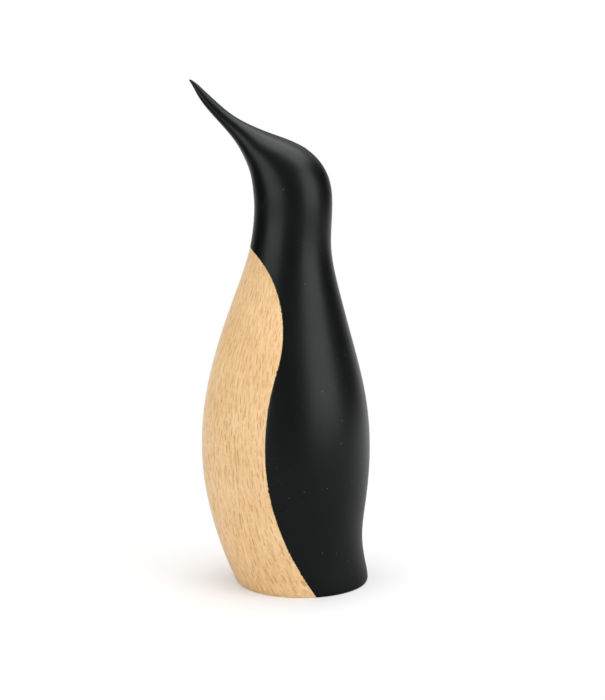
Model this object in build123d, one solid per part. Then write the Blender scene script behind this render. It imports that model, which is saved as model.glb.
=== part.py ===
"""A standing penguin figurine in beech: a natural belly, a black lacquered back and head, and the dowels inside.

Frame: millimetres, +Z up. The origin is the middle of the flat foot, the beak points to -X, and the figure is
symmetric about the plane Y = 0.

The outside is drawn as one form, the way the wood is shaped after it is glued up: elliptical ribs stand along
the spine from the foot to the tip of the beak, and one smooth loft runs through them. That form is then sawn into
its three blocks: across the neck, and along the S-shaped seam that parts the belly from the back. Each joint
has its dowels, and their sockets are drilled from the same values as the dowels.
"""

import os
from math import cos, radians, sin

from build123d import *

# Level ribs of the body, from the foot up. rise: height above the rib below. front and back: reach from the
# origin. seam: where the saw line between belly and back crosses the rib, behind the origin if positive.
foot_front = 29.2
foot_back = 28.9
foot_seam = 6.1

heel_rise = 8.0
heel_front = 32.7
heel_back = 27.7

hollow_rise = 11.5
hollow_front = 36.9
hollow_back = 26.3
hollow_seam = -4.8

hip_rise = 16.5
hip_front = 41.3
hip_back = 27.8
hip_seam = -11.1

belly_rise = 22.0
belly_front = 43.9
belly_back = 29.4
belly_seam = -15.4

breast_rise = 23.0
breast_front = 42.4
breast_back = 27.8
breast_seam = -15.0

chest_rise = 25.0
chest_front = 36.6
chest_back = 22.1
chest_seam = -9.3

shoulder_rise = 25.0
shoulder_front = 28.0
shoulder_back = 15.5
shoulder_seam = -10.2

nape_rise = 18.0
nape_front = 22.4
nape_back = 12.3

throat_rise = 16.0
throat_front = 20.6
throat_back = 12.8

# Leaning ribs of the head and beak, along the bending spine. forward and rise: how far the rib's middle lies from
# the middle of the rib before it. lean: degrees from level. depth: from the underside to the top.
crown_forward = 0.8
crown_rise = 10.1
crown_lean = 10.6
crown_depth = 33.0

brow_forward = 4.5
brow_rise = 9.1
brow_lean = 23.5
brow_depth = 27.4

cheek_forward = 9.1
cheek_rise = 7.6
cheek_lean = 40.5
cheek_depth = 16.0

beak_root_forward = 6.6
beak_root_rise = 5.4
beak_root_lean = 48.0
beak_root_depth = 9.8

beak_forward = 7.5
beak_rise = 6.4
beak_lean = 48.5
beak_depth = 6.1

beak_fore_forward = 5.9
beak_fore_rise = 5.8
beak_fore_lean = 45.5
beak_fore_depth = 4.9

beak_end_forward = 4.4
beak_end_rise = 5.0
beak_end_lean = 47.5
beak_end_depth = 3.6

beak_point_forward = 3.2
beak_point_rise = 4.1
beak_point_lean = 52.0
beak_point_depth = 1.8

tip_forward = 1.4
tip_rise = 1.4
tip_diameter = 0.8

# Breadth of the ribs across the figure, for each millimetre of their length or depth.
body_breadth = 0.94
head_breadth = 0.97
beak_breadth = 1.15

# Between those ribs the seam has two more crossings: halfway from breast to chest, and from chest to shoulder,
# where it swings furthest back. The slopes are from level, where the saw leaves the neck and enters the foot.
seam_below_chest = -12.7
seam_above_chest = -8.2
seam_collar_slope = 20.0
seam_foot_slope = 57.5

# The small round between the flat foot and the sides.
foot_edge_radius = 0.5

# Dowels: fluted beech pins in blind sockets, with a glue film all round and a glue well at each end.
neck_dowel_diameter = 10.0
neck_dowel_length = 40.0
belly_dowel_diameter = 8.0
belly_dowel_length = 30.0
dowel_chamfer = 0.8
flute_count = 12
flute_diameter = 0.8
glue_film = 0.05
glue_well = 1.0

# How far the saw runs past the wood on every side.
saw_overrun = 15.0

# Heights of the level ribs, and the places that the joints take from them.
heel_height = heel_rise
hollow_height = heel_height + hollow_rise
hip_height = hollow_height + hip_rise
belly_height = hip_height + belly_rise
breast_height = belly_height + breast_rise
chest_height = breast_height + chest_rise
shoulder_height = chest_height + shoulder_rise
nape_height = shoulder_height + nape_rise
throat_height = nape_height + throat_rise
throat_middle = (throat_back - throat_front) / 2
neck_joint_height = (nape_height + throat_height) / 2


def rib_plane(middle, lean):
    """The plane of a rib: its middle (x, z) on the plane of symmetry, and its lean from level towards the beak."""
    return Plane(origin=(middle.X, 0, middle.Y)).rotated((0, -lean, 0))


def rib(middle, length, lean, breadth):
    """An elliptical rib in a left and a right half. Its length is measured on the plane of symmetry."""
    halves = [
        EllipticalCenterArc((0, 0), length / 2, length / 2 * breadth, start_angle=start, arc_size=180)
        for start in (0, 180)
    ]
    return rib_plane(middle, lean) * make_face(halves)


def level_rib(height, front, back, breadth):
    return rib(Vector((back - front) / 2, height), front + back, 0, breadth)


def figure_form():
    """The whole outside as one solid, from the foot to the rounded tip of the beak."""
    ribs = [
        level_rib(0, foot_front, foot_back, body_breadth),
        level_rib(heel_height, heel_front, heel_back, body_breadth),
        level_rib(hollow_height, hollow_front, hollow_back, body_breadth),
        level_rib(hip_height, hip_front, hip_back, body_breadth),
        level_rib(belly_height, belly_front, belly_back, body_breadth),
        level_rib(breast_height, breast_front, breast_back, body_breadth),
        level_rib(chest_height, chest_front, chest_back, body_breadth),
        level_rib(shoulder_height, shoulder_front, shoulder_back, body_breadth),
        level_rib(nape_height, nape_front, nape_back, head_breadth),
        level_rib(throat_height, throat_front, throat_back, head_breadth),
    ]
    middle = Vector(throat_middle, throat_height)
    for forward, rise, lean, depth, breadth in (
        (crown_forward, crown_rise, crown_lean, crown_depth, head_breadth),
        (brow_forward, brow_rise, brow_lean, brow_depth, head_breadth),
        (cheek_forward, cheek_rise, cheek_lean, cheek_depth, beak_breadth),
        (beak_root_forward, beak_root_rise, beak_root_lean, beak_root_depth, beak_breadth),
        (beak_forward, beak_rise, beak_lean, beak_depth, beak_breadth),
        (beak_fore_forward, beak_fore_rise, beak_fore_lean, beak_fore_depth, beak_breadth),
        (beak_end_forward, beak_end_rise, beak_end_lean, beak_end_depth, beak_breadth),
        (beak_point_forward, beak_point_rise, beak_point_lean, beak_point_depth, 1),
        (tip_forward, tip_rise, beak_point_lean, tip_diameter, 1),
    ):
        middle += Vector(-forward, rise)
        ribs.append(rib(middle, depth, lean, breadth))
    tip = rib_plane(middle, beak_point_lean) * Sphere(tip_diameter / 2, arc_size1=0, align=None)
    form = loft(ribs) + tip
    foot_edge = form.edges().group_by(Axis.Z)[0]
    return fillet(foot_edge, foot_edge_radius)


def belly_side():
    """All the space in front of the seam, as one prism across the figure."""
    into_foot = Vector(-cos(radians(seam_foot_slope)), 0, sin(radians(seam_foot_slope)))
    out_of_collar = Vector(-cos(radians(seam_collar_slope)), 0, sin(radians(seam_collar_slope)))
    at_foot = Vector(foot_seam, 0, 0)
    at_collar = Vector(-nape_front, 0, nape_height)
    below = at_foot - into_foot * saw_overrun
    above = at_collar + out_of_collar * saw_overrun
    crossings = [
        below,
        at_foot,
        Vector(hollow_seam, 0, hollow_height),
        Vector(hip_seam, 0, hip_height),
        Vector(belly_seam, 0, belly_height),
        Vector(breast_seam, 0, breast_height),
        Vector(seam_below_chest, 0, (breast_height + chest_height) / 2),
        Vector(chest_seam, 0, chest_height),
        Vector(seam_above_chest, 0, (chest_height + shoulder_height) / 2),
        Vector(shoulder_seam, 0, shoulder_height),
        at_collar,
        above,
    ]
    seam = Spline(crossings, tangents=(into_foot, out_of_collar))
    ahead = -belly_front - saw_overrun
    around = Polyline(above, (ahead, 0, above.Z), (ahead, 0, below.Z), below)
    half_breadth = (belly_front + belly_back) * body_breadth / 2 + saw_overrun
    return extrude(make_face([seam, around]), half_breadth, dir=(0, 1, 0), both=True)


def dowel(diameter, length):
    """A fluted pin along Z, with its middle at the origin and a chamfer at both ends."""
    pin = Cylinder(diameter / 2, length)
    pin = chamfer(pin.edges().filter_by(GeomType.CIRCLE), dowel_chamfer)
    flutes = PolarLocations(diameter / 2, flute_count) * Cylinder(flute_diameter / 2, length)
    return pin - flutes


def socket(diameter, length):
    """The two blind holes that a dowel sits in, as one cutter."""
    return Cylinder(diameter / 2 + glue_film, length + 2 * glue_well)


neck_place = Pos(throat_middle, 0, neck_joint_height)
upper_belly_place = Pos(chest_seam, 0, chest_height) * Rot(0, 90, 0)
lower_belly_place = Pos(hip_seam, 0, hip_height) * Rot(0, 90, 0)

sockets = [
    neck_place * socket(neck_dowel_diameter, neck_dowel_length),
    upper_belly_place * socket(belly_dowel_diameter, belly_dowel_length),
    lower_belly_place * socket(belly_dowel_diameter, belly_dowel_length),
]

figure = figure_form()
neck_joint = Plane.XY.offset(neck_joint_height)
torso = split(figure, bisect_by=neck_joint, keep=Keep.BOTTOM)
belly_prism = belly_side()

pieces = {
    "belly": (torso & belly_prism) - sockets,
    "back": torso - belly_prism - sockets,
    "head": split(figure, bisect_by=neck_joint, keep=Keep.TOP) - sockets,
    "neck_dowel": neck_place * dowel(neck_dowel_diameter, neck_dowel_length),
    "upper_belly_dowel": upper_belly_place * dowel(belly_dowel_diameter, belly_dowel_length),
    "lower_belly_dowel": lower_belly_place * dowel(belly_dowel_diameter, belly_dowel_length),
}

os.makedirs("parts", exist_ok=True)
for name, piece in pieces.items():
    piece.label = name
    export_step(piece, f"parts/{name}.step")
    print(name, "volume", round(piece.volume), "mm3")
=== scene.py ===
# %% [markdown]
# # A wooden penguin figurine
#
# This lesson dresses a small carved penguin: a breast of natural beech, and a back, head and beak in
# black satin lacquer. The CAD frame already holds every block and dowel in its true place, in metres.
# Here the outside gets an even skin, real-looking finishes, light and a camera.

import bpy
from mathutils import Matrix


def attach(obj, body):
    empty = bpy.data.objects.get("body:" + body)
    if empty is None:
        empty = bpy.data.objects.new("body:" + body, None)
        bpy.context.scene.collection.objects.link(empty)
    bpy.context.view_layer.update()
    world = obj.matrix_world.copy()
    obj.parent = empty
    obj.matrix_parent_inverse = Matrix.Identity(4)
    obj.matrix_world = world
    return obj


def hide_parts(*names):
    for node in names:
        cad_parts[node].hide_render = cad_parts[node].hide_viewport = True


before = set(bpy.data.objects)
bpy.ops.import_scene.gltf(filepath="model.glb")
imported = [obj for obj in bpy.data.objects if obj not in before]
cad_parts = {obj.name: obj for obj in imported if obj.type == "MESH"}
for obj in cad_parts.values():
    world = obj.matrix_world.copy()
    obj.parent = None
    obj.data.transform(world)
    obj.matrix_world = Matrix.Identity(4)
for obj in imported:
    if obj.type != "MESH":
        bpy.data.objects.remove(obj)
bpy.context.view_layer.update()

# %% [markdown]
# The camera comes first, because everything after it is judged through it. The photograph looks at the
# near side of the figure from a little above, and its verticals hardly converge, so it was taken with a
# long lens from some way off. A metre away with a 122 mm lens gives the same outline.

# %% Place the camera
import math

import bmesh
import bpy
from mathutils import Matrix, Vector
from mathutils.bvhtree import BVHTree
from mathutils.geometry import interpolate_bezier
from mathutils.kdtree import KDTree

MM = 0.001
CAMERA_PLACE = (0, -1.0, 0.33654)
LOOK_DOWN = math.radians(13.124)
LENS_MM = 122.3
SENSOR_MM = 36

camera = bpy.data.objects.new("camera", bpy.data.cameras.new("camera"))
bpy.context.scene.collection.objects.link(camera)
bpy.context.scene.camera = camera
camera.location = CAMERA_PLACE
camera.rotation_euler = (math.radians(90) - LOOK_DOWN, 0, 0)
camera.data.lens = LENS_MM
camera.data.sensor_width = SENSOR_MM
print("camera looks down by", round(math.degrees(LOOK_DOWN), 1), "degrees from", CAMERA_PLACE)

# %% [markdown]
# A CAD mesh is made of triangles of every size, which is fine for machining but catches the light
# unevenly. A maker sands a form like this until a highlight runs along it without a kink, so the outside
# is drawn again as an even net of quads. Each point of the net is found by looking straight at the CAD
# form from outside and stopping at its surface, so the size and place stay those of the CAD. A BVH tree
# answers that question quickly.

# %% Sew copies of the CAD blocks together to look at
SEWING = 0.0001 * MM


def sewn_copy(*node_names):
    """One bmesh of those CAD nodes, with their loose triangles merged."""
    copy = bmesh.new()
    for name in node_names:
        copy.from_mesh(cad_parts[name].data)
    bmesh.ops.remove_doubles(copy, verts=copy.verts, dist=SEWING)
    return copy


figure_copy = sewn_copy("belly", "back", "head")
figure_form = BVHTree.FromBMesh(figure_copy)
belly_form = BVHTree.FromBMesh(sewn_copy("belly"))
print("figure copy:", len(figure_copy.verts), "vertices,", len(figure_copy.faces), "triangles")

# %% [markdown]
# The body is measured in level slices. An angle of 0 faces the beak's side and 180 degrees faces the
# back, and only the near half is measured, because the figure is symmetric: the other half is mirrored
# later.

# %% Measure the body in level slices
REACH = 100 * MM
SKIM = 0.02 * MM
TO_BACK = Vector((1, 0, 0))
TO_FAR_SIDE = Vector((0, 1, 0))
BELLY = 58 * MM


def slice_middle(height):
    """The middle of the level slice at that height, on the plane of symmetry."""
    front = figure_form.ray_cast(Vector((-REACH, 0, height)), TO_BACK)[0]
    back = figure_form.ray_cast(Vector((REACH, 0, height)), -TO_BACK)[0]
    return (front + back) / 2


def body_point(height, angle):
    """The point of the near half of the body at that height and angle from the front."""
    middle = slice_middle(max(height, SKIM))
    outwards = Vector((-math.cos(angle), -math.sin(angle), 0))
    point = figure_form.ray_cast(middle + outwards * REACH, -outwards)[0]
    return Vector((point.x, point.y, height))


print("breadth at the belly in mm:", round(-2 * body_point(BELLY, math.radians(90)).y / MM, 1))

# %% [markdown]
# The seam between breast and back is the line that gives this figure its character, so the net has to
# have an edge exactly on it. The rear face of the belly block shows where it runs: looking at that block
# from behind gives the seam's depth at any height, and looking from the side gives the point on the skin.
# The look from behind is taken to one side of the middle, because the dowel sockets are there.

# %% Find the seam
HAIR = 0.05 * MM
BESIDE_SOCKETS = 8 * MM
ABOVE_SOCKETS = 120 * MM
SHOULDER = 131 * MM


def seam_point(height):
    """The point on the near side where the seam runs at that height."""
    level = max(height, SKIM)
    aside = BESIDE_SOCKETS if level < ABOVE_SOCKETS else HAIR
    depth = belly_form.ray_cast(Vector((REACH, aside, level)), -TO_BACK)[0].x
    side = belly_form.ray_cast(Vector((depth - HAIR, -REACH, level)), TO_FAR_SIDE)[0].y
    return Vector((depth, side, height))


def seam_angle(height):
    """The seam's angle from the front at that height."""
    point = seam_point(height)
    middle = slice_middle(max(height, SKIM))
    return math.atan2(-point.y, middle.x - point.x)


print("seam angle in degrees at foot, belly and shoulder:",
      [round(math.degrees(seam_angle(height))) for height in (0, BELLY, SHOULDER)])

# %% [markdown]
# Seen from the front, the breast is a tall shield with a round top. A net of rows and columns needs four
# corners, so two are put on the round top, where the seam turns from climbing to crossing. Below them the
# rows are level, and above a chosen height they rise more and more in the middle, until the last row is
# the round top itself.

# %% Lay out the rows and the columns
FRONT_COLUMNS = 34
BACK_COLUMNS = 42
ROW_STEP = 1.4 * MM
FOOT_ROUND_ROWS = [0, 0.15 * MM, 0.5 * MM, 1.2 * MM]
BIB_START = 95 * MM
CORNER = 142 * MM
NECK_LEVEL = 152 * MM
HALVINGS = 30

foot_round_top = FOOT_ROUND_ROWS[-1]
climb = CORNER - foot_round_top
climb_rows = round(climb / ROW_STEP)
side_heights = FOOT_ROUND_ROWS + [foot_round_top + climb * i / climb_rows for i in range(1, climb_rows + 1)]
corner_angle = seam_angle(CORNER)
collar_top = max(vert.co.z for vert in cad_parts["belly"].data.vertices)


def arch_height(column):
    """The height at which the seam crosses that front column, found by halving the range that holds it."""
    if column == 0:
        return collar_top
    low, high = CORNER, collar_top - HAIR
    for _ in range(HALVINGS):
        height = (low + high) / 2
        if seam_angle(height) > corner_angle * column / FRONT_COLUMNS:
            low = height
        else:
            high = height
    return (low + high) / 2


arch_heights = [arch_height(column) for column in range(FRONT_COLUMNS + 1)]
print("rows:", len(side_heights))
print("round top in mm: from", round(arch_heights[-1] / MM, 2), "to", round(collar_top / MM, 2))

# %% [markdown]
# With rows and columns named, each point of the breast can be said in words: on the seam if it is in the
# last column, on the round top if it is in the last row, and otherwise on the body at its own height and
# angle.

# %% Say where each point of the breast lies
def arch_point(column):
    """The point of the round top in that column, counted from the front."""
    if column == 0:
        return Vector((body_point(collar_top, 0).x, 0, collar_top))
    return seam_point(arch_heights[column])


def breast_point(column, row):
    """The point of the breast: its column from the front, and its row from the foot."""
    height = side_heights[row]
    if row == len(side_heights) - 1:
        return arch_point(column)
    if column == FRONT_COLUMNS:
        return seam_point(height)
    angle = seam_angle(height) * column / FRONT_COLUMNS
    if height > BIB_START:
        share = (height - BIB_START) / (CORNER - BIB_START)
        height = BIB_START + share * (arch_heights[column] - BIB_START)
    return body_point(height, angle)


foot_ends = breast_point(0, 0), breast_point(FRONT_COLUMNS, 0)
print("foot of the breast runs along x in mm:", [round(point.x / MM, 1) for point in foot_ends])

# %% [markdown]
# Above the collar the figure bends into the head and beak, so its slices have to lean with it. A Bezier
# curve from the neck to the tip guides them: each slice stands square to the curve, and is then centred
# between the top and the underside that it finds, so the guide itself may be rough.

# %% Guide leaning slices along the head and beak
HEAD_ROWS = 72
TIP_CROWDING = 1.6
TIP_LEAN = math.radians(52)
NECK_PULL = 32 * MM
BEAK_PULL = 30 * MM
GUIDE_POINTS = 2001

beak_direction = Vector((-math.sin(TIP_LEAN), 0, math.cos(TIP_LEAN)))
beak_tip = max((Vector(v.co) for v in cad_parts["head"].data.vertices), key=beak_direction.dot)
beak_tip.y = 0
neck_middle = slice_middle(NECK_LEVEL)
above_neck = neck_middle + Vector((0, 0, NECK_PULL))
behind_tip = beak_tip - beak_direction * BEAK_PULL
guide = interpolate_bezier(neck_middle, above_neck, behind_tip, beak_tip, GUIDE_POINTS)


def head_slice(row):
    """The middle of that slice, and the direction in it that points to the back of the head."""
    share = 1 - (1 - row / HEAD_ROWS) ** TIP_CROWDING
    here = round(share * (GUIDE_POINTS - 2))
    forward = (guide[here + 1] - guide[here]).normalized()
    rearward = Vector((forward.z, 0, -forward.x))
    top = figure_form.ray_cast(guide[here] + rearward * REACH, -rearward)[0]
    underside = figure_form.ray_cast(guide[here] - rearward * REACH, rearward)[0]
    return (top + underside) / 2, rearward


head_slices = [head_slice(row) for row in range(HEAD_ROWS)]
print("tip of the beak in mm:", [round(c / MM, 1) for c in beak_tip])

# %% [markdown]
# The lacquered part has two sheets. One covers the back, from the foot to the beak, and starts on the
# seam. The other covers the throat and the underside of the beak, and starts on the round top of the
# breast. They share a line up each side of the neck, whose angle eases from the corner of the breast to
# an even share of the columns.

# %% Say where each point of the lacquered part lies
EVEN_ANGLE = math.pi * FRONT_COLUMNS / (FRONT_COLUMNS + BACK_COLUMNS)
COLLAR_ROWS = 7
EASING_ROWS = 30
AVERAGED_TURNS = [math.radians(3 * i) for i in range(-3, 4)]


def side_angle(row):
    """The angle of the line between throat and back, in rows above the corner of the breast."""
    share = min(row / EASING_ROWS, 1)
    eased = share * share * (3 - 2 * share)
    return corner_angle + (EVEN_ANGLE - corner_angle) * eased


def head_point(row, angle):
    """The point of the near half of the head and beak, in slices counted from the neck."""
    if row == HEAD_ROWS:
        return beak_tip.copy()
    middle, rearward = head_slices[row]
    reaches = []
    for turn in AVERAGED_TURNS:
        outwards = -rearward * math.cos(angle + turn) - TO_FAR_SIDE * math.sin(angle + turn)
        reaches.append((figure_form.ray_cast(middle + outwards * REACH, -outwards)[0] - middle).length)
    outwards = -rearward * math.cos(angle) - TO_FAR_SIDE * math.sin(angle)
    return middle + outwards * sum(reaches) / len(reaches)


def upper_point(row, angle, lowest):
    """The point at that angle in that row above the collar, where row 0 lies at the given lowest height."""
    if row < COLLAR_ROWS:
        return body_point(lowest + (NECK_LEVEL - lowest) * row / COLLAR_ROWS, angle)
    return head_point(row - COLLAR_ROWS, angle)


def throat_point(column, row):
    """The point of the throat sheet: its column from the front, and its row from the round top."""
    if row == 0:
        return arch_point(column)
    return upper_point(row, side_angle(row) * column / FRONT_COLUMNS, arch_heights[column])


def back_point(column, row):
    """The point of the back sheet: its column from the seam, and its row from the foot."""
    share = column / BACK_COLUMNS
    upper_row = row - len(side_heights) + 1
    if upper_row <= 0 and column == 0:
        return seam_point(side_heights[row])
    if upper_row <= 0:
        start = seam_angle(side_heights[row])
        return body_point(side_heights[row], start + (math.pi - start) * share)
    start = side_angle(upper_row)
    return upper_point(upper_row, start + (math.pi - start) * share, CORNER)


print("line between throat and back, in degrees from the front:",
      [round(math.degrees(side_angle(row))) for row in (0, EASING_ROWS)])

# %% [markdown]
# Now the pieces themselves. A flat grid is made for each sheet and its points are moved to their places,
# the half is mirrored, and the few hundredths of a millimetre that the CAD triangles cut off are smoothed
# away, as sandpaper does. Then every open edge, along the seam and the foot, is drawn in to the middle
# plane: that closes the block with the glued face and the flat foot. The blocks are solid here, and the
# dowels keep their CAD shape inside them.

# %% Wrap, mirror, smooth and close
SMOOTHINGS = 6
SANDING = 0.5
BEAK_START = 190 * MM
ARRIS = 0.04 * MM
SHARP = math.radians(50)
CREASE = math.radians(40)


def wrapped_block(name, sheets):
    """A closed block whose skin is made of those sheets: columns, rows, and where each point lies."""
    skin = bmesh.new()
    for columns, rows, place in sheets:
        grid = bmesh.ops.create_grid(skin, x_segments=columns, y_segments=rows, size=0.5)
        for vert in grid["verts"]:
            vert.co = place(round((vert.co.x + 0.5) * columns), round((vert.co.y + 0.5) * rows))
    bmesh.ops.remove_doubles(skin, verts=skin.verts, dist=SEWING)
    bmesh.ops.mirror(skin, geom=skin.verts[:] + skin.edges[:] + skin.faces[:], matrix=Matrix(), axis="Y",
                     merge_dist=SEWING)
    bmesh.ops.remove_doubles(skin, verts=skin.verts, dist=SEWING)
    inner = [v for v in skin.verts if not v.is_boundary and v.co.z < BEAK_START]
    for _ in range(SMOOTHINGS):
        bmesh.ops.smooth_vert(skin, verts=inner, factor=SANDING,
                              use_axis_x=True, use_axis_y=True, use_axis_z=True)
    drawn_in = bmesh.ops.extrude_edge_only(skin, edges=[e for e in skin.edges if e.is_boundary])
    for vert in (g for g in drawn_in["geom"] if isinstance(g, bmesh.types.BMVert)):
        vert.co.y = 0
    bmesh.ops.remove_doubles(skin, verts=skin.verts, dist=SEWING)
    bmesh.ops.recalc_face_normals(skin, faces=skin.faces)
    print(name, "open edges:", sum(not e.is_manifold for e in skin.edges), "faces:", len(skin.faces))
    return skin


def finished(name, skin):
    """The block as an object, with its arrises eased and its faces shaded smooth."""
    arrises = [e for e in skin.edges if e.is_manifold and e.calc_face_angle() > SHARP]
    bmesh.ops.bevel(skin, geom=arrises, offset=ARRIS, segments=2, profile=0.5, affect="EDGES", material=-1)
    mesh = bpy.data.meshes.new(name)
    skin.to_mesh(mesh)
    mesh.shade_smooth()
    mesh.set_sharp_from_angle(angle=CREASE)
    block = bpy.data.objects.new(name, mesh)
    bpy.context.scene.collection.objects.link(block)
    return block


# %% [markdown]
# Two blocks show on the outside: the bare breast, and the back with the head and beak, whose joint at the
# neck is filled and sprayed over. They could be one mesh with two finishes, but the real ones are glued
# along the seam. So each is a closed piece of its own, which stands for its CAD blocks.

# %% Make the breast and the lacquered part
last_row = len(side_heights) - 1
upper_rows = COLLAR_ROWS + HEAD_ROWS
breast = finished("breast_block", wrapped_block("breast", [(FRONT_COLUMNS, last_row, breast_point)]))
lacquered = finished("lacquered_block", wrapped_block("lacquered part", [
    (BACK_COLUMNS, last_row + upper_rows, back_point),
    (FRONT_COLUMNS, upper_rows, throat_point),
]))
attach(breast, "root")
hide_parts("belly")
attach(lacquered, "root")
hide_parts("back", "head")

# %% [markdown]
# Finishes are built from shader nodes, and they repeat a few moves: add a node, work on numbers or
# vectors, ease from one level to another, blend two colours. A small helper for each keeps the finishes
# short. The last one gives the coordinates that all patterns hang on: the object's own, in millimetres,
# so a fleck of 4 mm is written as 4.

# %% Helpers for finishes
def add(tree, kind, inputs=(), **settings):
    """One shader node: its settings, then its inputs, each a value or another node's output."""
    node = tree.nodes.new("ShaderNode" + kind)
    for key, value in settings.items():
        setattr(node, key, value)
    for socket, value in dict(inputs).items():
        if isinstance(value, bpy.types.NodeSocket):
            tree.links.new(value, node.inputs[socket])
        else:
            node.inputs[socket].default_value = value
    return node


def numbers(tree, operation, first, second):
    return add(tree, "Math", {0: first, 1: second}, operation=operation).outputs[0]


def vectors(tree, operation, first, second):
    return add(tree, "VectorMath", {0: first, 1: second}, operation=operation).outputs[0]


def length(tree, vector):
    return add(tree, "VectorMath", {0: vector}, operation="LENGTH").outputs["Value"]


def along(tree, place, way):
    """How far the place lies in that direction."""
    return add(tree, "VectorMath", {0: place, 1: way}, operation="DOT_PRODUCT").outputs["Value"]


def ease(tree, value, start, end, low=0.0, high=1.0):
    """low up to the start, high from the end on, and a soft step between them."""
    levels = {"Value": value, "From Min": start, "From Max": end, "To Min": low, "To Max": high}
    return add(tree, "MapRange", levels, interpolation_type="SMOOTHSTEP").outputs["Result"]


def blend(tree, share, first, second):
    """The first colour where the share is 0, the second where it is 1."""
    return add(tree, "Mix", {0: share, 6: first, 7: second}, data_type="RGBA").outputs[2]


def noise(tree, place, scale, detail):
    return add(tree, "TexNoise", {"Vector": place, "Scale": scale, "Detail": detail}).outputs


def millimetres(tree, turn=(0, 0, 0)):
    """The object's own coordinates in millimetres, turned if the wood lies another way."""
    place = add(tree, "TexCoord").outputs["Object"]
    scale = (1 / MM, 1 / MM, 1 / MM)
    return add(tree, "Mapping", {"Vector": place, "Scale": scale, "Rotation": turn}).outputs[0]


def new_finish(name):
    """A material, its node tree and its shader."""
    made = bpy.data.materials.new(name)
    made.use_nodes = True
    return made, made.node_tree, made.node_tree.nodes["Principled BSDF"]


# %% [markdown]
# Beech is told by its ray flecks: thin upright lenses of darker cells that fan out from the heart of the
# tree. They are about half a millimetre thick and a few millimetres tall, so they show as short dashes. In
# the photograph the dashes stand upright at the belly, lean a little with the outline above and below it,
# and lie down beside the seam at the foot. That is how a carved form cuts lenses that fan out from a heart
# behind it, where the trunk leans a little and the heart bends away towards the foot. So the pattern is
# made in three dimensions and the form cuts it, as it cuts the wood.

# %% Follow the wood out from the heart of the tree
TRUNK_LEAN = 0.15
BELLY_LEVEL = 70.0
HEART_AT_FOOT = 110.0
HEART_AT_BREAST = 20.0
HALF_BREADTH = 28.0
BREAST_DEPTH = 20.0
BEND_TOP = 50.0


def from_heart(tree, place):
    """Coordinates of the wood in millimetres: outwards from the heart of the tree, round it, and up."""
    x, y, z = add(tree, "SeparateXYZ", {0: place}).outputs
    heart = ease(tree, z, 0.0, BEND_TOP, HEART_AT_FOOT, HEART_AT_BREAST)
    lean = numbers(tree, "MULTIPLY", numbers(tree, "SUBTRACT", z, BELLY_LEVEL), TRUNK_LEAN)
    inwards = numbers(tree, "SUBTRACT", heart, numbers(tree, "ADD", x, lean))
    flat = add(tree, "CombineXYZ", {0: inwards, 1: y}).outputs[0]
    radius = length(tree, flat)
    outwards = numbers(tree, "SUBTRACT", radius, heart)
    turn = numbers(tree, "ARCTAN2", y, inwards)
    turn_at_side = numbers(tree, "ARCTAN2", HALF_BREADTH, numbers(tree, "ADD", heart, BREAST_DEPTH))
    around = numbers(tree, "MULTIPLY", numbers(tree, "DIVIDE", turn, turn_at_side), HALF_BREADTH)
    return add(tree, "CombineXYZ", {0: outwards, 1: around, 2: z}).outputs[0]


print("heart of the tree in mm behind the middle:", HEART_AT_BREAST, "at the breast and",
      HEART_AT_FOOT, "at the foot")

# %% [markdown]
# Each lens is the middle of a random cell, stretched to the size of a ray, and no two are equally bold. A
# slow wave bends the wood first, so that nothing in it runs dead straight.

# %% Grow the ray flecks
SLOW_WAVE = 0.03
SCATTER = 0.7


def wavy_grain(tree, wood, sway):
    """The wood's coordinates, bent a little so that nothing in it runs dead straight."""
    drift = vectors(tree, "SUBTRACT", noise(tree, wood, SLOW_WAVE, 4.0)["Color"], (0.5, 0.5, 0.5))
    return vectors(tree, "ADD", wood, vectors(tree, "MULTIPLY", drift, sway))


def ray_flecks(tree, grain, spacing, half_size):
    """Lenses set at random, one to a cell: 0 beside a lens, and in its middle from 0.4 to 1."""
    cells = vectors(tree, "DIVIDE", grain, spacing)
    scatter = add(tree, "TexVoronoi", {"Vector": cells, "Scale": 1.0, "Randomness": SCATTER}).outputs
    from_middle = vectors(tree, "SUBTRACT", cells, scatter["Position"])
    stretch = [cell / half for cell, half in zip(spacing, half_size)]
    lens = length(tree, vectors(tree, "MULTIPLY", from_middle, stretch))
    boldness = add(tree, "SeparateColor", {0: scatter["Color"]}).outputs["Red"]
    inside = ease(tree, lens, 1.0, 0.5)
    return numbers(tree, "MULTIPLY", inside, ease(tree, boldness, -0.8, 1.0))


# %% [markdown]
# The colour is laid up in layers, as the eye finds them: a warm pale ground that drifts in tone, fine
# fibres along the grain, small faint flecks, and the bold flecks last. The same layers press a very
# shallow relief, in which the bold rays lie a little lower than the wood between them, and the fibres vary
# the gloss.

# %% Lay up the beech
# Each kind of ray: the spacing of its cells, then the half size of its lenses. Both are in millimetres,
# outwards, round and up.
LARGE_RAYS = (6.5, 1.6, 5.8), (3.2, 0.26, 2.9)
MIDDLE_RAYS = (6.0, 1.8, 4.9), (2.8, 0.24, 2.4)
SMALL_RAYS = (5.0, 0.6, 2.2), (2.4, 0.17, 0.9)
ELSEWHERE = (31.0, 17.0, 53.0)
SWAY = (8.0, 1.6, 6.0)
FIBRE_FINENESS = (0.3, 1.3, 0.15)
SMALL_STRENGTH = 0.4
BOLD_STRENGTH = 0.72

BREAST_PALE = (0.95, 0.665, 0.365, 1)
BREAST_DEEP = (0.83, 0.535, 0.25, 1)
BREAST_FLECK = (0.59, 0.255, 0.06, 1)


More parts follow.
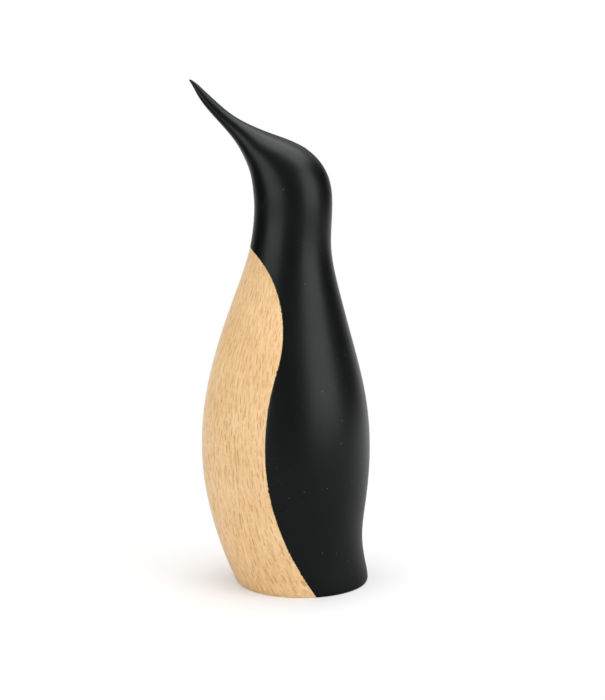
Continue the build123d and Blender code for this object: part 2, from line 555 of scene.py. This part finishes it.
def lay_up_beech(tree, shader, wood, pale, deep, fleck):
    """Gives the shader the colour, gloss and relief of beech whose grain runs along Z. Returns the colour."""
    grain = wavy_grain(tree, wood, SWAY)
    elsewhere = vectors(tree, "ADD", grain, ELSEWHERE)
    large = ray_flecks(tree, grain, *LARGE_RAYS)
    bold = numbers(tree, "MAXIMUM", large, ray_flecks(tree, elsewhere, *MIDDLE_RAYS))
    small = ray_flecks(tree, grain, *SMALL_RAYS)
    fibres = noise(tree, vectors(tree, "MULTIPLY", grain, FIBRE_FINENESS), 1.0, 3.0)["Fac"]
    drift = noise(tree, wood, 0.05, 3.0)["Fac"]
    tone = numbers(tree, "ADD", numbers(tree, "MULTIPLY", fibres, 0.65),
                   numbers(tree, "MULTIPLY", drift, 0.35))
    ground = blend(tree, ease(tree, tone, 0.34, 0.66), pale, deep)
    flecked = blend(tree, numbers(tree, "MULTIPLY", small, SMALL_STRENGTH), ground, fleck)
    colour = blend(tree, numbers(tree, "MULTIPLY", bold, BOLD_STRENGTH), flecked, fleck)
    relief = numbers(tree, "SUBTRACT", fibres, numbers(tree, "MULTIPLY", bold, 0.5))
    surface = add(tree, "Bump", {"Height": relief, "Strength": 0.35, "Distance": 0.03 * MM}).outputs[0]
    tree.links.new(colour, shader.inputs["Base Color"])
    tree.links.new(ease(tree, fibres, 0.3, 0.7, 0.48, 0.58), shader.inputs["Roughness"])
    tree.links.new(surface, shader.inputs["Normal"])
    return colour


beech, tree, shader = new_finish("natural_beech")
shader.inputs["Specular IOR Level"].default_value = 0.35
shader.inputs["Sheen Weight"].default_value = 0.4
shader.inputs["Sheen Roughness"].default_value = 0.35
shader.inputs["Sheen Tint"].default_value = (0.85, 0.95, 1.0, 1)
breast_wood = from_heart(tree, millimetres(tree))
breast_colour = lay_up_beech(tree, shader, breast_wood, BREAST_PALE, BREAST_DEEP, BREAST_FLECK)
breast.data.materials.append(beech)
print(beech.name, "has", len(tree.nodes), "nodes")

# %% [markdown]
# The paint line isn't a knife cut. Where the lacquer met bare wood it crept a hair's breadth along the
# pores, so in places the edge has fine teeth. To put them there, every point of the breast is told its
# distance from the seam, in an attribute that the finish can read.

# %% Let the lacquer creep into the wood
TOOTH_LENGTH = 0.34
CREPT_BLACK = (0.004, 0.004, 0.004, 1)

seam_line = [seam_point(height) for height in side_heights]
seam_line += [arch_point(column) for column in range(FRONT_COLUMNS + 1)]
nearest = KDTree(len(seam_line))
for index, point in enumerate(seam_line):
    nearest.insert(point, index)
nearest.balance()

distances = breast.data.attributes.new("from_seam", "FLOAT", "POINT")
for vert in breast.data.vertices:
    near_side = Vector((vert.co.x, -abs(vert.co.y), vert.co.z))
    distances.data[vert.index].value = nearest.find(near_side)[2] / MM

from_seam = add(tree, "Attribute", attribute_name="from_seam").outputs["Fac"]
teeth = ease(tree, noise(tree, breast_wood, 1.4, 1.0)["Fac"], 0.45, 0.7, 0.0, TOOTH_LENGTH)
stretches = ease(tree, noise(tree, breast_wood, 0.05, 1.0)["Fac"], 0.46, 0.56)
creep = numbers(tree, "MULTIPLY", teeth, stretches)
crept = ease(tree, numbers(tree, "SUBTRACT", from_seam, creep), 0.05, -0.05)
tree.links.new(blend(tree, crept, breast_colour, CREPT_BLACK), shader.inputs["Base Color"])
print("seam line of", len(seam_line), "points, farthest point of the breast",
      round(max(d.value for d in distances.data), 1), "mm away")

# %% [markdown]
# The lacquer is sprayed on in thin coats over filled grain: almost black, a little cool, with a satin
# gloss that shows a lamp as a soft band. It isn't dead even. The spray leaves ripples of a millimetre or
# two, the wood prints through very faintly, the gloss drifts, and dust settles as pale specks: a few far
# apart, and here and there a cloud of finer ones.

# %% Spray the lacquer
LACQUER_BLACK = (0.0028, 0.0033, 0.0031, 1)
DUST_GREY = (0.16, 0.16, 0.15, 1)

# Each kind of dust: the spacing and the radius of its specks, in millimetres.
COARSE_DUST = 4.4, 0.25
FINE_DUST = 1.3, 0.13


def dust(tree, place, spacing, radius):
    """Round specks set at random: 1 on a speck and 0 beside it."""
    scatter = add(tree, "TexVoronoi", {"Vector": place, "Scale": 1 / spacing}).outputs["Distance"]
    return ease(tree, scatter, radius / spacing, 0.5 * radius / spacing)


lacquer, tree, shader = new_finish("black_lacquer")
shader.inputs["Specular IOR Level"].default_value = 0.35
shader.inputs["Specular Tint"].default_value = (0.94, 1.0, 0.98, 1)
film = millimetres(tree)
cloud = ease(tree, noise(tree, film, 0.035, 1.0)["Fac"], 0.62, 0.72)
fine_dust = numbers(tree, "MULTIPLY", dust(tree, film, *FINE_DUST), cloud)
specks = numbers(tree, "MAXIMUM", dust(tree, film, *COARSE_DUST), fine_dust)
tree.links.new(blend(tree, specks, LACQUER_BLACK, DUST_GREY), shader.inputs["Base Color"])
gloss = ease(tree, noise(tree, film, 0.08, 2.0)["Fac"], 0.3, 0.7, 0.34, 0.37)
roughness = numbers(tree, "MAXIMUM", gloss, numbers(tree, "MULTIPLY", specks, 0.6))
tree.links.new(roughness, shader.inputs["Roughness"])
ripples = noise(tree, film, 0.6, 1.0)["Fac"]
print_through = noise(tree, vectors(tree, "MULTIPLY", film, (0.5, 1.2, 0.06)), 1.0, 2.0)["Fac"]
relief = numbers(tree, "ADD", numbers(tree, "ADD", ripples, print_through), specks)
surface = add(tree, "Bump", {"Height": relief, "Strength": 0.3, "Distance": 0.012 * MM}).outputs[0]
tree.links.new(surface, shader.inputs["Normal"])
lacquered.data.materials.append(lacquer)
print(lacquer.name, "has", len(tree.nodes), "nodes")

# %% [markdown]
# The dowels stay as the CAD made them. No one sees them until a joint lets go, but they are beech too:
# bare, a little darker than the breast, and cut with the grain along the pin. Two pins lie level, so
# their wood is turned.

# %% Dress the dowels
ALONG_X = (0, math.radians(90), 0)
UPRIGHT = (0, 0, 0)
PIN_TURNS = {"neck_dowel": UPRIGHT, "upper_belly_dowel": ALONG_X, "lower_belly_dowel": ALONG_X}
PIN_PALE = (0.74, 0.50, 0.285, 1)
PIN_DEEP = (0.62, 0.405, 0.215, 1)
PIN_FLECK = (0.46, 0.235, 0.085, 1)

for pin_name, turn in PIN_TURNS.items():
    pin_finish, tree, shader = new_finish(pin_name + "_beech")
    shader.inputs["Specular IOR Level"].default_value = 0.3
    lay_up_beech(tree, shader, millimetres(tree, turn), PIN_PALE, PIN_DEEP, PIN_FLECK)
    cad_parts[pin_name].material_slots[0].material = pin_finish
    print(pin_name, "wears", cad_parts[pin_name].material_slots[0].material.name)

# %% [markdown]
# The figure stands on a sheet of white paper. Photographs like this are lit until the paper is plain
# white, with only a breath of shadow round the foot. The sheet ends on the beak's side not far from the
# figure, because the lacquer mirrors a dark room there. It runs far back, because the edges of the lacquer
# mirror it there.

# %% Lay the paper
PAPER_LEFT, PAPER_RIGHT = -0.36, 0.56
PAPER_FRONT, PAPER_REAR = -0.9, 1.2

sheet = bmesh.new()
bmesh.ops.create_grid(sheet, x_segments=1, y_segments=1, size=0.5)
bmesh.ops.scale(sheet, vec=(PAPER_RIGHT - PAPER_LEFT, PAPER_REAR - PAPER_FRONT, 1), verts=sheet.verts)
paper_middle = ((PAPER_LEFT + PAPER_RIGHT) / 2, (PAPER_FRONT + PAPER_REAR) / 2, 0)
bmesh.ops.translate(sheet, vec=paper_middle, verts=sheet.verts)
floor = bpy.data.objects.new("paper_floor", bpy.data.meshes.new("paper_floor"))
sheet.to_mesh(floor.data)
bpy.context.scene.collection.objects.link(floor)
print("paper of", round(floor.dimensions.x, 2), "by", round(floor.dimensions.y, 2), "m")

# %% [markdown]
# The paper has two jobs. To the camera it is a lit sheet near the foot, where the shadow falls, and plain
# white further out. In the lacquer it is a mirrored floor: dim in front and bright towards the backdrop,
# which lies behind the figure and a little to its back's side. From below it is clear, so that the foot
# can be looked at.

# %% Give the paper its white
BRIGHT_SIDE = (0.35, 0.94, 0)
PAPER_LIT = (0.85, 0.85, 0.85, 1)
PAPER_MIRRORED = (0.25, 0.25, 0.25, 1)

paper, tree, shader = new_finish("white_paper")
floor.data.materials.append(paper)
rays = add(tree, "LightPath").outputs
spot = add(tree, "TexCoord").outputs["Object"]
from_foot = length(tree, spot)
towards_backdrop = along(tree, spot, BRIGHT_SIDE)
paper_colour = blend(tree, rays["Is Glossy Ray"], PAPER_LIT, PAPER_MIRRORED)
tree.links.new(paper_colour, shader.inputs["Base Color"])
paper_tooth = ease(tree, noise(tree, spot, 900.0, 2.0)["Fac"], 0.3, 0.7, 0.9, 1.0)
tree.links.new(paper_tooth, shader.inputs["Roughness"])
shader.inputs["Specular IOR Level"].default_value = 0.1
seen = numbers(tree, "MULTIPLY", rays["Is Camera Ray"], ease(tree, from_foot, 0.04, 0.2, 0.3, 1.0))
bounced = numbers(tree, "MAXIMUM", rays["Is Glossy Ray"], rays["Is Transmission Ray"])
mirrored = numbers(tree, "MULTIPLY", bounced, ease(tree, towards_backdrop, -0.06, 0.28))
white = add(tree, "Emission", {"Color": (1, 1, 1, 1), "Strength": 1.0}).outputs[0]
whiteness = numbers(tree, "MAXIMUM", seen, mirrored)
sheet_or_white = add(tree, "MixShader", {0: whiteness, 1: shader.outputs[0], 2: white}).outputs[0]
from_below = add(tree, "NewGeometry").outputs["Backfacing"]
clear = add(tree, "BsdfTransparent").outputs[0]
one_sided = add(tree, "MixShader", {0: from_below, 1: sheet_or_white, 2: clear}).outputs[0]
tree.links.new(one_sided, tree.nodes["Material Output"].inputs["Surface"])
print(paper.name, "has", len(tree.nodes), "nodes")

# %% [markdown]
# The bands on the lacquer tell where the lamps stood: a low softbox on the beak's side, a tall one on the
# back's side, and a wide light overhead that whitens the crown and the top of the beak. Each band was
# traced back from the picture through the surface to a direction, and a lamp was put there. A lamp's
# strength is given as the brightness of its cloth, so that it can be made larger without growing
# brighter.

# %% Set up the lamps
def softbox(name, place, aim, width, height, brightness):
    """A lit rectangle of cloth that faces the aim, all in metres."""
    lamp = bpy.data.lights.new(name, "AREA")
    lamp.shape = "RECTANGLE"
    lamp.size, lamp.size_y = width, height
    lamp.energy = brightness * math.pi * width * height
    stand = bpy.data.objects.new(name, lamp)
    bpy.context.scene.collection.objects.link(stand)
    stand.location = place
    stand.rotation_euler = (Vector(aim) - Vector(place)).to_track_quat("-Z", "Y").to_euler()
    print(name, "of", round(lamp.energy, 2), "watts")


softbox("softbox_beak_side", (-0.47, -0.37, 0.16), (0, 0, 0.16), 0.52, 0.32, 1.9)
softbox("softbox_back_side", (0.46, -0.32, 0.35), (0, 0, 0.35), 0.47, 0.62, 2.3)
softbox("softbox_overhead", (0.04, 0.06, 1.25), (0.04, 0.06, 0.1), 2.0, 1.36, 3.1)

# %% [markdown]
# The rest of the room is dim. It shows mostly in the lacquer: a pale backdrop behind the figure, wider and
# brighter the higher it goes, a low pale wall that gives the outline its thin light rim, and a little
# fill from the camera's side. The camera itself sees plain white.

# %% Light the room
world = bpy.data.worlds.new("studio")
bpy.context.scene.world = world
world.use_nodes = True
tree = world.node_tree
direction = add(tree, "TexCoord").outputs["Generated"]
flat = vectors(tree, "MULTIPLY", direction, (1, 1, 0))
level = add(tree, "VectorMath", {0: flat}, operation="NORMALIZE").outputs[0]
rearward = along(tree, level, BRIGHT_SIDE)
upward = add(tree, "SeparateXYZ", {0: direction}).outputs["Z"]
backdrop_edge = ease(tree, upward, 0.15, 0.5, 0.97, 0.8)
backdrop_white = ease(tree, upward, 0.15, 0.65, 0.3, 0.7)
backdrop = ease(tree, rearward, backdrop_edge, 1.0, 0.0, backdrop_white)
behind = add(tree, "SeparateXYZ", {0: level}).outputs["Y"]
wall_white = ease(tree, behind, 0.55, 0.92, 0.0, 0.62)
low_wall = numbers(tree, "MULTIPLY", wall_white, ease(tree, upward, 0.18, 0.0))
fill = ease(tree, rearward, -0.9, -0.5, 0.12, 0.0)
room = numbers(tree, "ADD", numbers(tree, "MAXIMUM", backdrop, low_wall), fill)
seen_white = add(tree, "LightPath").outputs["Is Camera Ray"]
studio_light = tree.nodes["Background"]
studio_light.inputs["Color"].default_value = (1, 1, 1, 1)
tree.links.new(numbers(tree, "MAXIMUM", seen_white, room), studio_light.inputs["Strength"])
bpy.context.scene.view_settings.view_transform = "Standard"
print("room lit by", len(tree.nodes), "nodes")
